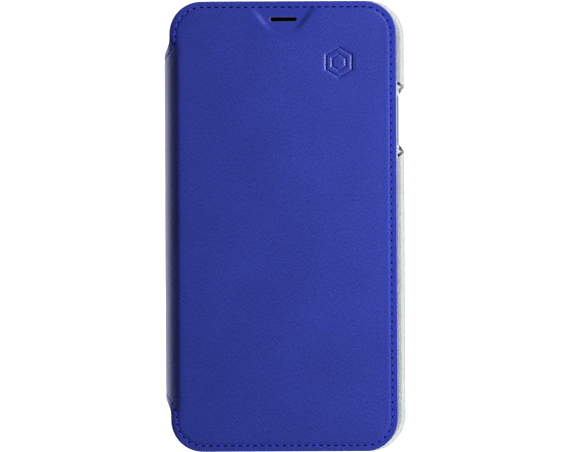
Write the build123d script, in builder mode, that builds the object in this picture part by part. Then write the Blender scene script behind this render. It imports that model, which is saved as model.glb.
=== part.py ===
from build123d import *
import math
import os

# Folio phone case: a clear hard shell, a padded leather cover that closes over
# the screen, a narrow leather spine and a leather strap bonded to the shell's back.
# Frame: +Z is the front of the closed case, +Y the top of the phone, +X the side
# away from the spine. The origin is the centre of the case's footprint, at z = 0.
# All sizes are in millimetres.

# ---- phone that the shell holds -------------------------------------------------
phone_w = 75.7
phone_h = 150.9
phone_t = 8.3
phone_corner = 11.3
fit_gap = 0.1

# ---- closed case ----------------------------------------------------------------
case_w = 81.5                    # spine to shell, overall
half_w = case_w / 2
flap_h = 152.9                   # height of the cover

# ---- layer stack, from the resting face upwards ----------------------------------
leather_t = 0.9
lining_t = 0.4
film_t = 0.1
panel_t = 1.1                    # back panel of the clear shell
board_t = 0.6
foam_t = 0.6
pocket_t = 0.4
rim_gap = 0.45                   # closed cover to the shell's rim

z_shell = leather_t + lining_t + film_t            # 1.4  outer face of the back panel
z_seat = z_shell + panel_t                         # 2.5  face the phone lies on
cavity_t = phone_t + fit_gap                       # 8.4
z_front = z_seat + cavity_t                        # 10.9 phone's glass
z_rim = z_front + 0.5                              # 11.4 top of the rim
z_lining = z_rim + rim_gap                         # 11.85 underside of the cover's lining
z_board = z_lining + lining_t                      # 12.25
z_foam = z_board + board_t                         # 12.85
z_border = z_foam + leather_t                      # 13.75 top of the stitched border
z_under = z_foam + foam_t                          # 13.45 underside of the raised leather
z_top = z_under + leather_t                        # 14.35 top of the padded panel

# ---- clear shell ----------------------------------------------------------------
wall_t = 1.15
shell_w = phone_w + 2 * fit_gap + 2 * wall_t       # 78.2
shell_h = phone_h + 2 * fit_gap + 2 * wall_t       # 153.4
shell_x = half_w - shell_w / 2                     # 1.65
shell_corner = phone_corner + fit_gap + wall_t     # 12.55
edge_r = 4.9                                       # rounding of the shell's outer edges
cavity_r = 4.1                                     # rounding of the phone's edges
lip_in = 2.75                                      # rim opening, in from the outermost wall
cut_mid_z, cut_mid_run, cut_rim_run = 6.3, 2.6, 5.0  # flared end of a side cut, along the wall
key_cut, key_y = 16.5, 36.2                        # side key cut, right wall
vol_cut, vol_y = 38.0, 30.2                        # volume keys cut, left wall
port_cut = 46.0                                    # charging port cut, bottom wall
cam_w, cam_h, cam_x, cam_y = 14.5, 24.5, 26.9, 58.1

# ---- leather bend ---------------------------------------------------------------
bend_r = 4.7                                       # outer radius of both spine bends
bend_x = -half_w + bend_r                          # -36.05 where the flat parts begin
in_r = bend_r - leather_t                          # 3.8
lin_r = in_r - lining_t                            # 3.4
zc_low = bend_r                                    # centre of the lower bend
zc_high = z_top - bend_r                           # centre of the upper bend
fold_gap = 0.8                                     # degrees left free each side of a fold

# ---- cover outline --------------------------------------------------------------
flap_right = 38.1
flap_left = -39.4
flap_corner = 11.0
flap_w = flap_right - flap_left
flap_x = (flap_right + flap_left) / 2
seam_in = 1.85                                     # stitch line, in from the edge
thread_w = 0.30
pad_in = 2.5                                       # foot of the padded panel
slope = foam_t
foam_in = pad_in + leather_t * (math.sqrt(2) - 1)
slot_x, slot_y, slot_l, slot_w = -0.35, 70.3, 9.0, 1.4
dip_top, dip_bottom = 10.0, 5.8                    # half widths of the dip round the slot
dip_y0 = 67.5                                      # lower edge of that dip

# ---- back strap and spine ends ---------------------------------------------------
strap_right = 4.0
strap_half = 56.2
strap_corner = 7.0

# ---- card pockets ----------------------------------------------------------------
pocket_y0, pocket_y1 = -54.0, 38.0
rear_x0, rear_x1 = -24.0, 24.5
front_x0, front_x1 = -14.0, 34.5
pocket_seam = 1.4

os.makedirs("parts", exist_ok=True)
made = []


def save(builder, name):
    builder.part.label = name
    export_step(builder.part, f"parts/{name}.step")
    made.append((name, builder.part))


def polar(cx, cz, r, deg):
    a = math.radians(deg)
    return (cx + r * math.cos(a), cz + r * math.sin(a))


# =================================================================================
# clear_shell: one moulding, back panel and a wall that curls over the phone's edge
# =================================================================================
outer_top = z_rim + edge_r - math.sqrt(edge_r**2 - (edge_r - lip_in) ** 2)

with BuildPart() as shell_outer:
    with BuildSketch(Plane.XY.offset(z_shell)):
        with Locations((shell_x, 0)):
            RectangleRounded(shell_w, shell_h, shell_corner)
    extrude(amount=outer_top - z_shell)
    fillet(shell_outer.edges().group_by(Axis.Z)[0], edge_r)
    fillet(shell_outer.edges().group_by(Axis.Z)[-1], edge_r)

with BuildPart() as phone_space:
    with BuildSketch(Plane.XY.offset(z_seat)):
        with Locations((shell_x, 0)):
            RectangleRounded(
                phone_w + 2 * fit_gap, phone_h + 2 * fit_gap, phone_corner + fit_gap
            )
    extrude(amount=cavity_t)
    fillet(phone_space.edges().group_by(Axis.Z)[0], cavity_r)
    fillet(phone_space.edges().group_by(Axis.Z)[-1], cavity_r)


def side_cut(plane, centre, base, depth_a, depth_b):
    """Prism that opens a wall down to the back panel; its ends flare in an S towards the rim."""
    low, high = z_seat, z_rim + 2.0
    down, up = cut_mid_z - z_seat, z_rim - cut_mid_z
    run2 = cut_rim_run - cut_mid_run
    r1 = (cut_mid_run**2 + down**2) / (2 * cut_mid_run)
    r2 = (run2**2 + up**2) / (2 * run2)
    a1 = math.degrees(math.asin(down / r1))
    a2 = math.degrees(math.asin(up / r2))
    half = base / 2
    with BuildPart() as cut:
        with BuildSketch(plane.offset(depth_a)):
            with BuildLine():
                Line((centre - half, low), (centre + half, low))
                CenterArc((centre + half + cut_mid_run - r1, cut_mid_z), r1, -a1, a1)
                CenterArc((centre + half + cut_mid_run + r2, cut_mid_z), r2, 180, -a2)
                Line((centre + half + cut_rim_run, z_rim), (centre + half + cut_rim_run, high))
                Line((centre + half + cut_rim_run, high), (centre - half - cut_rim_run, high))
                Line((centre - half - cut_rim_run, high), (centre - half - cut_rim_run, z_rim))
                CenterArc((centre - half - cut_mid_run - r2, cut_mid_z), r2, a2, -a2)
                CenterArc((centre - half - cut_mid_run + r1, cut_mid_z), r1, 180, a1)
            make_face()
        extrude(amount=depth_b - depth_a)
    return cut.part


key_tool = side_cut(Plane.YZ, key_y, key_cut, half_w - 6.5, half_w + 3)
vol_tool = side_cut(
    Plane.YZ, vol_y, vol_cut, shell_x - shell_w / 2 - 3, shell_x - shell_w / 2 + 6.5
)
port_tool = side_cut(
    Plane((0, 0, 0), x_dir=(1, 0, 0), z_dir=(0, -1, 0)),
    shell_x,
    port_cut,
    shell_h / 2 - 6.5,
    shell_h / 2 + 3,
)

with BuildPart() as clear_shell:
    add(shell_outer.part)
    # raised guard round the camera window
    with BuildSketch(Plane.XY.offset(z_shell - 0.45)):
        with Locations((cam_x, cam_y)):
            SlotOverall(cam_h + 2.4, cam_w + 2.4, rotation=90)
    extrude(amount=0.6)
    add(phone_space.part, mode=Mode.SUBTRACT)
    # front opening inside the rim
    with BuildSketch(Plane.XY.offset(z_front - 4.0)):
        with Locations((shell_x, 0)):
            RectangleRounded(
                shell_w - 2 * lip_in, shell_h - 2 * lip_in, shell_corner - lip_in
            )
    extrude(amount=8.0, mode=Mode.SUBTRACT)
    # camera window
    with BuildSketch(Plane.XY.offset(-1)):
        with Locations((cam_x, cam_y)):
            SlotOverall(cam_h, cam_w, rotation=90)
    extrude(amount=5.0, mode=Mode.SUBTRACT)
    add(key_tool, mode=Mode.SUBTRACT)
    add(vol_tool, mode=Mode.SUBTRACT)
    add(port_tool, mode=Mode.SUBTRACT)
save(clear_shell, "clear_shell")

# =================================================================================
# outlines shared by the cover's layers
# =================================================================================


def outline(inset):
    """Rounded rectangle of the cover, drawn in by inset, in the open sketch."""
    with Locations((flap_x, 0)):
        RectangleRounded(flap_w - 2 * inset, flap_h - 2 * inset, flap_corner - inset)


def right_of(x):
    """Keeps what lies at larger X than x, in the open sketch."""
    with Locations((x + 100, 0)):
        Rectangle(200, 400, mode=Mode.INTERSECT)


def dip_edges(grow):
    """Border of the pressed dip round the earpiece slot."""
    with BuildLine() as border:
        Polyline(
            (slot_x - dip_top - grow - 1.2, dip_y0 + 8.6),
            (slot_x - dip_bottom - grow, dip_y0 - grow),
            (slot_x + dip_bottom + grow, dip_y0 - grow),
            (slot_x + dip_top + grow + 1.2, dip_y0 + 8.6),
            close=True,
        )
    return border.line.edges()


# pressed panel: foot at the border's top, slope at 45 degrees
pad_left = bend_x

with BuildPart() as pad_outer:
    with BuildSketch(Plane.XY.offset(z_foam)):
        outline(pad_in)
        right_of(bend_x)
        make_face(dip_edges(0.0), mode=Mode.SUBTRACT)
    extrude(amount=z_top - z_foam)
    rim_edges = [
        e
        for e in pad_outer.edges().group_by(Axis.Z)[-1]
        if not (abs(e.center().X - bend_x) < 0.01)
    ]
    chamfer(rim_edges, slope)

with BuildPart() as cover_foam:
    with BuildSketch(Plane.XY.offset(z_foam)):
        outline(foam_in)
        right_of(bend_x + 0.65)
        make_face(dip_edges(foam_in - pad_in), mode=Mode.SUBTRACT)
    extrude(amount=foam_t)
    rim_edges = [
        e
        for e in cover_foam.edges().group_by(Axis.Z)[-1]
        if not (abs(e.center().X - bend_x - 0.65) < 0.01)
    ]
    chamfer(rim_edges, slope - 0.02)
save(cover_foam, "cover_foam")

# =================================================================================
# cover_leather: padded skin of the front cover, with the upper half of the bend
# =================================================================================
with BuildPart() as cover_leather:
    add(pad_outer.part)
    with BuildSketch(Plane.XY.offset(z_foam)):
        outline(0)
        right_of(bend_x)
    extrude(amount=leather_t)
    # quarter bend down to the fold line
    with BuildPart(mode=Mode.PRIVATE) as cover_bend:
        with BuildSketch(Plane.XZ):
            with BuildLine():
                a0, a1 = 90, 135 - fold_gap
                CenterArc((bend_x, zc_high), bend_r, a0, a1 - a0)
                Line(polar(bend_x, zc_high, bend_r, a1), polar(bend_x, zc_high, in_r, a1))
                CenterArc((bend_x, zc_high), in_r, a0, a1 - a0)
                Line((bend_x, zc_high + in_r), (bend_x, zc_high + bend_r))
            make_face()
        extrude(amount=flap_h / 2 + 1, both=True)
        with BuildSketch(Plane.XY):
            outline(0)
        extrude(amount=40, mode=Mode.INTERSECT)
    add(cover_bend.part)
    # room for the foam and for the lining where it climbs to the bend
    add(cover_foam.part, mode=Mode.SUBTRACT)
    with Locations((bend_x + 0.325, 0, (z_foam + z_under) / 2)):
        Box(0.65, flap_h + 2, foam_t, mode=Mode.SUBTRACT)
    # stitch channel
    with BuildSketch(Plane.XY.offset(z_border - 0.2)):
        outline(seam_in - thread_w / 2 - 0.02)
        with Locations((flap_x, 0)):
            RectangleRounded(
                flap_w - 2 * (seam_in + thread_w / 2 + 0.02),
                flap_h - 2 * (seam_in + thread_w / 2 + 0.02),
                flap_corner - seam_in - thread_w / 2 - 0.02,
                mode=Mode.SUBTRACT,
            )
        right_of(bend_x + 0.9)
    extrude(amount=0.4, mode=Mode.SUBTRACT)
    # earpiece slot
    with BuildSketch(Plane.XY.offset(z_lining - 1)):
        with Locations((slot_x, slot_y)):
            SlotOverall(slot_l, slot_w)
    extrude(amount=6, mode=Mode.SUBTRACT)
save(cover_leather, "cover_leather")

# =================================================================================
# cover_board: stiffener
# =================================================================================
with BuildPart() as cover_board:
    with BuildSketch(Plane.XY.offset(z_board)):
        outline(0.5)
        right_of(bend_x + 1.15)
    extrude(amount=board_t)
    with BuildSketch(Plane.XY.offset(z_lining - 1)):
        with Locations((slot_x, slot_y)):
            SlotOverall(slot_l, slot_w)
    extrude(amount=6, mode=Mode.SUBTRACT)
save(cover_board, "cover_board")

# =================================================================================
# slot_mesh: fine black mesh behind the earpiece slot, let into the lining
# =================================================================================
mesh_l, mesh_w, mesh_t = 13.0, 4.0, 0.15
with BuildPart() as slot_mesh:
    with BuildSketch(Plane.XY.offset(z_board - mesh_t)):
        with Locations((slot_x, slot_y)):
            RectangleRounded(mesh_l, mesh_w, 1.0)
    extrude(amount=mesh_t)
save(slot_mesh, "slot_mesh")

# =================================================================================
# cover_lining: inner face of the cover, climbing over the board's edge to the bend
# =================================================================================
with BuildPart() as cover_lining:
    a0, a1 = 90, 135 - fold_gap
    with BuildSketch(Plane.XZ):
        with BuildLine():
            Line((flap_right + 1, z_lining), (flap_right + 1, z_board))
            Line((flap_right + 1, z_board), (bend_x + 1.15, z_board))
            Line((bend_x + 1.15, z_board), (bend_x, zc_high + in_r))
            CenterArc((bend_x, zc_high), in_r, a0, a1 - a0)
            Line(polar(bend_x, zc_high, in_r, a1), polar(bend_x, zc_high, lin_r, a1))
            CenterArc((bend_x, zc_high), lin_r, a0, a1 - a0)
            Line((bend_x, zc_high + lin_r), (bend_x + 1.35, z_lining))
            Line((bend_x + 1.35, z_lining), (flap_right + 1, z_lining))
        make_face()
    extrude(amount=flap_h / 2 + 1, both=True)
    with BuildSketch(Plane.XY):
        outline(0)
    extrude(amount=40, mode=Mode.INTERSECT)
    with BuildSketch(Plane.XY.offset(z_lining - 1)):
        with Locations((slot_x, slot_y)):
            SlotOverall(slot_l, slot_w)
    extrude(amount=6, mode=Mode.SUBTRACT)
    with BuildSketch(Plane.XY.offset(z_board - mesh_t)):
        with Locations((slot_x, slot_y)):
            RectangleRounded(mesh_l, mesh_w, 1.0)
    extrude(amount=0.5, mode=Mode.SUBTRACT)
    with BuildSketch(Plane.XY.offset(z_lining)):
        outline(seam_in - thread_w / 2 - 0.02)
        with Locations((flap_x, 0)):
            RectangleRounded(
                flap_w - 2 * (seam_in + thread_w / 2 + 0.02),
                flap_h - 2 * (seam_in + thread_w / 2 + 0.02),
                flap_corner - seam_in - thread_w / 2 - 0.02,
                mode=Mode.SUBTRACT,
            )
        right_of(bend_x + 2.0)
    extrude(amount=0.15, mode=Mode.SUBTRACT)
save(cover_lining, "cover_lining")


def seam_band(z, height, left):
    """Thread round three sides of the cover, open towards the spine."""
    with BuildPart() as band:
        with BuildSketch(Plane.XY.offset(z)):
            outline(seam_in - thread_w / 2)
            with Locations((flap_x, 0)):
                RectangleRounded(
                    flap_w - 2 * (seam_in + thread_w / 2),
                    flap_h - 2 * (seam_in + thread_w / 2),
                    flap_corner - seam_in - thread_w / 2,
                    mode=Mode.SUBTRACT,
                )
            right_of(left)
        extrude(amount=height)
    return band


cover_thread_front = seam_band(z_border - 0.2, 0.24, bend_x + 0.95)
save(cover_thread_front, "cover_thread_front")
cover_thread_inside = seam_band(z_lining - 0.03, 0.18, bend_x + 2.05)
save(cover_thread_inside, "cover_thread_inside")

# =================================================================================
# card pockets on the inner face: two panels with their mouths towards the spine
# =================================================================================
z_rear = z_lining - pocket_t
z_fp = z_rear - pocket_t
pocket_h = pocket_y1 - pocket_y0
pocket_y = (pocket_y0 + pocket_y1) / 2

with BuildPart() as card_pocket_rear:
    with BuildSketch(Plane.XY.offset(z_rear)):
        with Locations(((rear_x0 + rear_x1) / 2, pocket_y)):
            Rectangle(rear_x1 - rear_x0, pocket_h)
    extrude(amount=pocket_t)
    # thumb scoop in the mouth
    with BuildSketch(Plane.XY.offset(z_rear - 1)):
        with Locations((rear_x0 - 4.0, pocket_y)):
            Circle(10.0)
    extrude(amount=3, mode=Mode.SUBTRACT)
    # channel for the seam that runs over the rear panel's ends
    with BuildSketch(Plane.XY.offset(z_rear)):
        with Locations(
            ((rear_x0 + front_x0) / 2, pocket_y1 - pocket_seam),
            ((rear_x0 + front_x0) / 2, pocket_y0 + pocket_seam),
        ):
            Rectangle(front_x0 - rear_x0 - 1.6, thread_w + 0.04)
    extrude(amount=0.15, mode=Mode.SUBTRACT)
save(card_pocket_rear, "card_pocket_rear")

step_a, step_b = rear_x1 + 0.2, rear_x1 + 1.4
with BuildPart() as card_pocket_front:
    with BuildSketch(Plane.XZ):
        with BuildLine():
            Polyline(
                (front_x0, z_fp),
                (step_a, z_fp),
                (step_b, z_rear),
                (front_x1, z_rear),
                (front_x1, z_lining),
                (step_b, z_lining),
                (step_a, z_rear),
                (front_x0, z_rear),
                close=True,
            )
        make_face()
    extrude(amount=100, both=True)
    with BuildSketch(Plane.XY):
        with Locations(((front_x0 + front_x1) / 2, pocket_y)):
            Rectangle(front_x1 - front_x0, pocket_h)
    extrude(amount=40, mode=Mode.INTERSECT)
    with BuildSketch(Plane.XY.offset(z_fp - 1)):
        with Locations((front_x0 - 4.0, pocket_y)):
            Circle(10.0)
    extrude(amount=3, mode=Mode.SUBTRACT)
    outer_corners = [
        e
        for e in card_pocket_front.edges().filter_by(Axis.Z)
        if abs(e.center().X - front_x1) < 0.01
    ]
    fillet(outer_corners, 3.0)
    with BuildSketch(Plane.XY.offset(z_fp)):
        with Locations(
            ((front_x0 + step_a) / 2, pocket_y1 - pocket_seam),
            ((front_x0 + step_a) / 2, pocket_y0 + pocket_seam),
        ):
            Rectangle(step_a - front_x0 - 1.6, thread_w + 0.04)
    extrude(amount=0.15, mode=Mode.SUBTRACT)
    with BuildSketch(Plane.XY.offset(z_rear)):
        with Locations((front_x1 - pocket_seam, pocket_y)):
            Rectangle(thread_w + 0.04, pocket_h - 2 * 3.6)
    extrude(amount=0.15, mode=Mode.SUBTRACT)
save(card_pocket_front, "card_pocket_front")

with BuildPart() as pocket_thread:
    with BuildSketch(Plane.XY.offset(z_rear - 0.03)):
        with Locations(
            ((rear_x0 + front_x0) / 2, pocket_y1 - pocket_seam),
            ((rear_x0 + front_x0) / 2, pocket_y0 + pocket_seam),
        ):
            Rectangle(front_x0 - rear_x0 - 1.7, thread_w)
        with Locations((front_x1 - pocket_seam, pocket_y)):
            Rectangle(thread_w, pocket_h - 2 * 3.6 - 0.1)
    extrude(amount=0.18)
    with BuildSketch(Plane.XY.offset(z_fp - 0.03)):
        with Locations(
            ((front_x0 + step_a) / 2, pocket_y1 - pocket_seam),
            ((front_x0 + step_a) / 2, pocket_y0 + pocket_seam),
        ):
            Rectangle(step_a - front_x0 - 1.7, thread_w)
    extrude(amount=0.18)
save(pocket_thread, "pocket_thread")

# =================================================================================
# spine: leather, stiffener strip and lining, between the two fold lines
# =================================================================================
low0, high0 = 225 - fold_gap, 135 + fold_gap
x_out = -half_w
x_in = -half_w + leather_t
x_stiff = x_in + 0.4
x_lin = x_stiff + lining_t


def spine_outline():
    """Side profile of the spine: short in the middle, flaring towards the cover."""
    pts = [
        (strap_half, 0.0),
        (strap_half, 5.4),
        (strap_half + 0.8, 7.5),
        (strap_half + 2.4, 9.65),
        (strap_half + 3.4, 11.0),
        (strap_half + 4.6, 12.1),
        (strap_half + 6.4, 13.15),
    ]
    right = pts
    left = [(-y, z) for y, z in reversed(pts)]
    with BuildLine() as profile:
        Line(right[0], right[1])
        Spline(*right[1:])
        Line(right[-1], (right[-1][0], 16))
        Line((right[-1][0], 16), (left[0][0], 16))
        Line((left[0][0], 16), left[0])
        Spline(*left[:-1])
        Line(left[-2], left[-1])
        Line(left[-1], right[0])
    return profile.line.edges()


with BuildPart() as spine_tool:
    with BuildSketch(Plane.YZ.offset(-half_w - 5)):
        make_face(spine_outline())
    extrude(amount=20)

with BuildPart() as spine_leather:
    with BuildSketch(Plane.XZ):
        with BuildLine():
            CenterArc((bend_x, zc_high), bend_r, high0, 180 - high0)
            Line((x_out, zc_high), (x_out, zc_low))
            CenterArc((bend_x, zc_low), bend_r, 180, low0 - 180)
            Line(polar(bend_x, zc_low, bend_r, low0), polar(bend_x, zc_low, in_r, low0))
            CenterArc((bend_x, zc_low), in_r, 180, low0 - 180)
            Line((x_in, zc_low), (x_in, zc_high))
            CenterArc((bend_x, zc_high), in_r, high0, 180 - high0)
            Line(polar(bend_x, zc_high, in_r, high0), polar(bend_x, zc_high, bend_r, high0))
        make_face()
    extrude(amount=80, both=True)
    add(spine_tool.part, mode=Mode.INTERSECT)
    # stitch channels across both ends
    for side in (1, -1):
        with Locations((x_out + 0.075, side * (strap_half - seam_in), (zc_low + zc_high) / 2 - 0.6)):
            Box(0.25, thread_w + 0.04, zc_high - zc_low - 1.2, mode=Mode.SUBTRACT)
save(spine_leather, "spine_leather")

with BuildPart() as spine_thread:
    for side in (1, -1):
        with Locations((x_out + 0.105, side * (strap_half - seam_in), (zc_low + zc_high) / 2 - 0.6)):
            Box(0.19, thread_w, zc_high - zc_low - 1.3)
save(spine_thread, "spine_thread")

with BuildPart() as spine_stiffener:
    with Locations(((x_in + x_stiff) / 2, 0, (zc_low + zc_high) / 2)):
        Box(0.4, 2 * strap_half - 5.2, zc_high - zc_low - 1.0)
save(spine_stiffener, "spine_stiffener")

with BuildPart() as spine_lining:
    with BuildSketch(Plane.XZ):
        with BuildLine():
            CenterArc((bend_x, zc_high), in_r, high0, 180 - high0)
            Line((x_in, zc_high), (x_stiff, zc_high - 0.5))
            Line((x_stiff, zc_high - 0.5), (x_stiff, zc_low + 0.5))
            Line((x_stiff, zc_low + 0.5), (x_in, zc_low))
            CenterArc((bend_x, zc_low), in_r, 180, low0 - 180)
            Line(polar(bend_x, zc_low, in_r, low0), polar(bend_x, zc_low, lin_r, low0))
            CenterArc((bend_x, zc_low), lin_r, 180, low0 - 180)
            Line((bend_x - lin_r, zc_low), (x_lin, zc_low + 0.5))
            Line((x_lin, zc_low + 0.5), (x_lin, zc_high - 0.5))
            Line((x_lin, zc_high - 0.5), (bend_x - lin_r, zc_high))
            CenterArc((bend_x, zc_high), lin_r, high0, 180 - high0)
            Line(polar(bend_x, zc_high, lin_r, high0), polar(bend_x, zc_high, in_r, high0))
        make_face()
    extrude(amount=80, both=True)
    add(spine_tool.part, mode=Mode.INTERSECT)
save(spine_lining, "spine_lining")

# =================================================================================
# back strap: leather, lining, thread and the film that bonds it to the shell
# =================================================================================
low1 = 225 + fold_gap


def strap_profile(r_out, r_in, x_end):
    """Flat strap with the lower half of the bend, thickness r_out - r_in."""
    with BuildLine() as profile:
        Line((x_end, zc_low - r_out), (bend_x, zc_low - r_out))
        CenterArc((bend_x, zc_low), r_out, low1, 270 - low1)
        Line(polar(bend_x, zc_low, r_out, low1), polar(bend_x, zc_low, r_in, low1))
        CenterArc((bend_x, zc_low), r_in, low1, 270 - low1)
        Line((bend_x, zc_low - r_in), (x_end, zc_low - r_in))
        Line((x_end, zc_low - r_in), (x_end, zc_low - r_out))
    return profile.line.edges()


with BuildPart() as back_leather:
    with BuildSketch(Plane.XZ):
        make_face(strap_profile(bend_r, in_r, strap_right))
    extrude(amount=strap_half, both=True)
    fillet(
        [e for e in back_leather.edges().filter_by(Axis.Z) if e.center().X > strap_right - 0.01],
        strap_corner,
    )
    # stitch channel along the three free sides
    seam_half = strap_half - seam_in
    with BuildSketch(Plane.XY.offset(0)):
        with Locations((strap_right - seam_in - 25, 0)):
            RectangleRounded(50 + thread_w + 0.04, 2 * seam_half + thread_w + 0.04, strap_corner - seam_in + thread_w / 2 + 0.02)
            RectangleRounded(50 - thread_w - 0.04, 2 * seam_half - thread_w - 0.04, strap_corner - seam_in - thread_w / 2 - 0.02, mode=Mode.SUBTRACT)
        right_of(bend_x + 0.3)
    extrude(amount=0.2, mode=Mode.SUBTRACT)
save(back_leather, "back_leather")

with BuildPart() as back_thread:
    with BuildSketch(Plane.XY.offset(0.01)):
        with Locations((strap_right - seam_in - 25, 0)):
            RectangleRounded(50 + thread_w, 2 * seam_half + thread_w, strap_corner - seam_in + thread_w / 2)
            RectangleRounded(50 - thread_w, 2 * seam_half - thread_w, strap_corner - seam_in - thread_w / 2, mode=Mode.SUBTRACT)
        right_of(bend_x + 0.35)
    extrude(amount=0.19)
save(back_thread, "back_thread")

with BuildPart() as back_lining:
    with BuildSketch(Plane.XZ):
        make_face(strap_profile(in_r, lin_r, strap_right))
    extrude(amount=strap_half, both=True)
    fillet(
        [e for e in back_lining.edges().filter_by(Axis.Z) if e.center().X > strap_right - 0.01],
        strap_corner,
    )
save(back_lining, "back_lining")

film_left = shell_x - shell_w / 2 + edge_r + 0.6
with BuildPart() as bond_film:
    with BuildSketch(Plane.XY.offset(z_shell - film_t)):
        with Locations(((film_left + strap_right - 0.8) / 2, 0)):
            RectangleRounded(strap_right - 0.8 - film_left, 2 * strap_half - 1.6, 2.0)
    extrude(amount=film_t)
save(bond_film, "bond_film")

for name, part in made:
    box = part.bounding_box()
    print(
        f"{name:20s} solids {len(part.solids())} volume {part.volume:9.2f} "
        f"x {box.min.X:7.2f} {box.max.X:7.2f} y {box.min.Y:7.2f} {box.max.Y:7.2f} "
        f"z {box.min.Z:6.2f} {box.max.Z:6.2f}"
    )
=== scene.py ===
import math

import bpy
import numpy as np
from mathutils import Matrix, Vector
from mathutils.geometry import delaunay_2d_cdt


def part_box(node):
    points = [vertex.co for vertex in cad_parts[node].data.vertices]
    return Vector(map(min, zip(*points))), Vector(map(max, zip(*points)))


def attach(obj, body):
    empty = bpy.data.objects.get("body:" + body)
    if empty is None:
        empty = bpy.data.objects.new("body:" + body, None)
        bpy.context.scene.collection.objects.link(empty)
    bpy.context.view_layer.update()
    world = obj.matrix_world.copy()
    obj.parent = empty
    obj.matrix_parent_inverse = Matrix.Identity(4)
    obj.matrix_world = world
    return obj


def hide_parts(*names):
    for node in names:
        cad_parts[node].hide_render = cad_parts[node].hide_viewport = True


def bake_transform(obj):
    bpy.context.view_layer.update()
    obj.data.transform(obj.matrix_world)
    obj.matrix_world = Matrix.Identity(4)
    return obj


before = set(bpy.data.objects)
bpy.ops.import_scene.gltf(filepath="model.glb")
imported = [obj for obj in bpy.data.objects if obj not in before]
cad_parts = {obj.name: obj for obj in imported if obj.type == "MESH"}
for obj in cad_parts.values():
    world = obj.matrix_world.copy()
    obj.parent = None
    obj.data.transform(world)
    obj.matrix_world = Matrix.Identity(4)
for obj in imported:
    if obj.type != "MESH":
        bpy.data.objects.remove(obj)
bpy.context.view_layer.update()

scene = bpy.context.scene
MM = 0.001

# --------------------------------------------------------------------------------
# profile of the folded leather, in millimetres, read from the frame
# --------------------------------------------------------------------------------
low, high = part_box("cover_leather")
X_RIGHT, Z_TOP, HALF_H = high[0] / MM, high[2] / MM, high[1] / MM
X_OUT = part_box("spine_leather")[0][0] / MM
STRAP_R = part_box("back_leather")[1][0] / MM
STRAP_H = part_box("back_leather")[1][1] / MM
Z_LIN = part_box("cover_lining")[0][2] / MM          # inner face of the cover's lining
BEND = 4.7
X_B = X_OUT + BEND
ZC_HI, ZC_LO = Z_TOP - BEND, BEND
ARC = BEND * math.pi / 2
HALF_S = (ZC_HI - ZC_LO) / 2                       # half of the spine's straight part
UB = HALF_S + ARC                                  # lower bend runs from -UB to -HALF_S
LEATHER = 0.9

# upper bend: slack leather that leans in towards the cover. Each station is
# (share of the way in from the spine's outer face, tilt of the surface in degrees)
LEAN = 5.4                                         # width of the leaning part
TILT = [(0.0, 84.5), (0.06, 83.0), (0.093, 81.0), (0.155, 77.5), (0.217, 72.5), (0.28, 65.0),
        (0.343, 54.5), (0.406, 45.5), (0.469, 40.0), (0.54, 36.5), (0.62, 32.5), (0.72, 28.0),
        (0.81, 22.5), (0.89, 15.5), (0.95, 8.0), (1.0, 0.0)]
_q = np.linspace(0, 1, 1201) ** 1.3
_tilt = np.radians(np.interp(_q, [a for a, _ in TILT], [b for _, b in TILT]))
_mid = (_tilt[1:] + _tilt[:-1]) / 2
_dx = np.diff(_q) * LEAN
_dz = np.tan(_mid) * _dx
Z_SIDE = ZC_LO + 0.2
_steep = _q[1:] < 0.28                             # this part takes up the height that is left
_dz[_steep] *= (Z_TOP - Z_SIDE - _dz[~_steep].sum()) / _dz[_steep].sum()
BEND_X = X_OUT + np.concatenate([[0], np.cumsum(_dx)])
BEND_Z = Z_SIDE + np.concatenate([[0], np.cumsum(_dz)])
BEND_U = -HALF_S + 0.2 + np.concatenate([[0], np.cumsum(np.hypot(_dx, _dz))])
_t = np.concatenate([[math.pi / 2], np.arctan2(_dz, _dx)])
for _ in range(6):
    _t[1:-1] = (_t[:-2] + _t[1:-1] + _t[2:]) / 3
_t[-1] = 0.0
BEND_T = _t
X_T, UT = BEND_X[-1], BEND_U[-1]                   # where the flat cover starts
U_RIGHT = UT + (X_RIGHT - X_T)
U_STRAP = -UB - (STRAP_R - X_B)

# at the cover's free corners nothing pulls the margin down, so it only rolls off a little
CORNER_T = np.radians(np.interp(UT - BEND_U, [0, 1.2, 2.2, 3.2, 4.0, 6.0], [0, 5, 11, 18, 24, 28]))
_du = np.diff(BEND_U)
_ct = (CORNER_T[1:] + CORNER_T[:-1]) / 2
CORNER_X = X_T - np.concatenate([np.cumsum((np.cos(_ct) * _du)[::-1])[::-1], [0]])
CORNER_Z = Z_TOP - np.concatenate([np.cumsum((np.sin(_ct) * _du)[::-1])[::-1], [0]])


def corner_share(v):
    """0 along the spine, 1 at the free corners above and below it."""
    t = np.clip((np.abs(v) - 59.3) / 6.2, 0, 1)
    return t * t * (3 - 2 * t)


def u_of(x, y=0.0):
    """Flat-pattern u of a point of the cover's outer face at plan position x, y."""
    if x > X_T:
        return float(UT + (x - X_T))
    w = float(corner_share(y))
    return float(np.interp(x, BEND_X * (1 - w) + CORNER_X * w, BEND_U))


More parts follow.
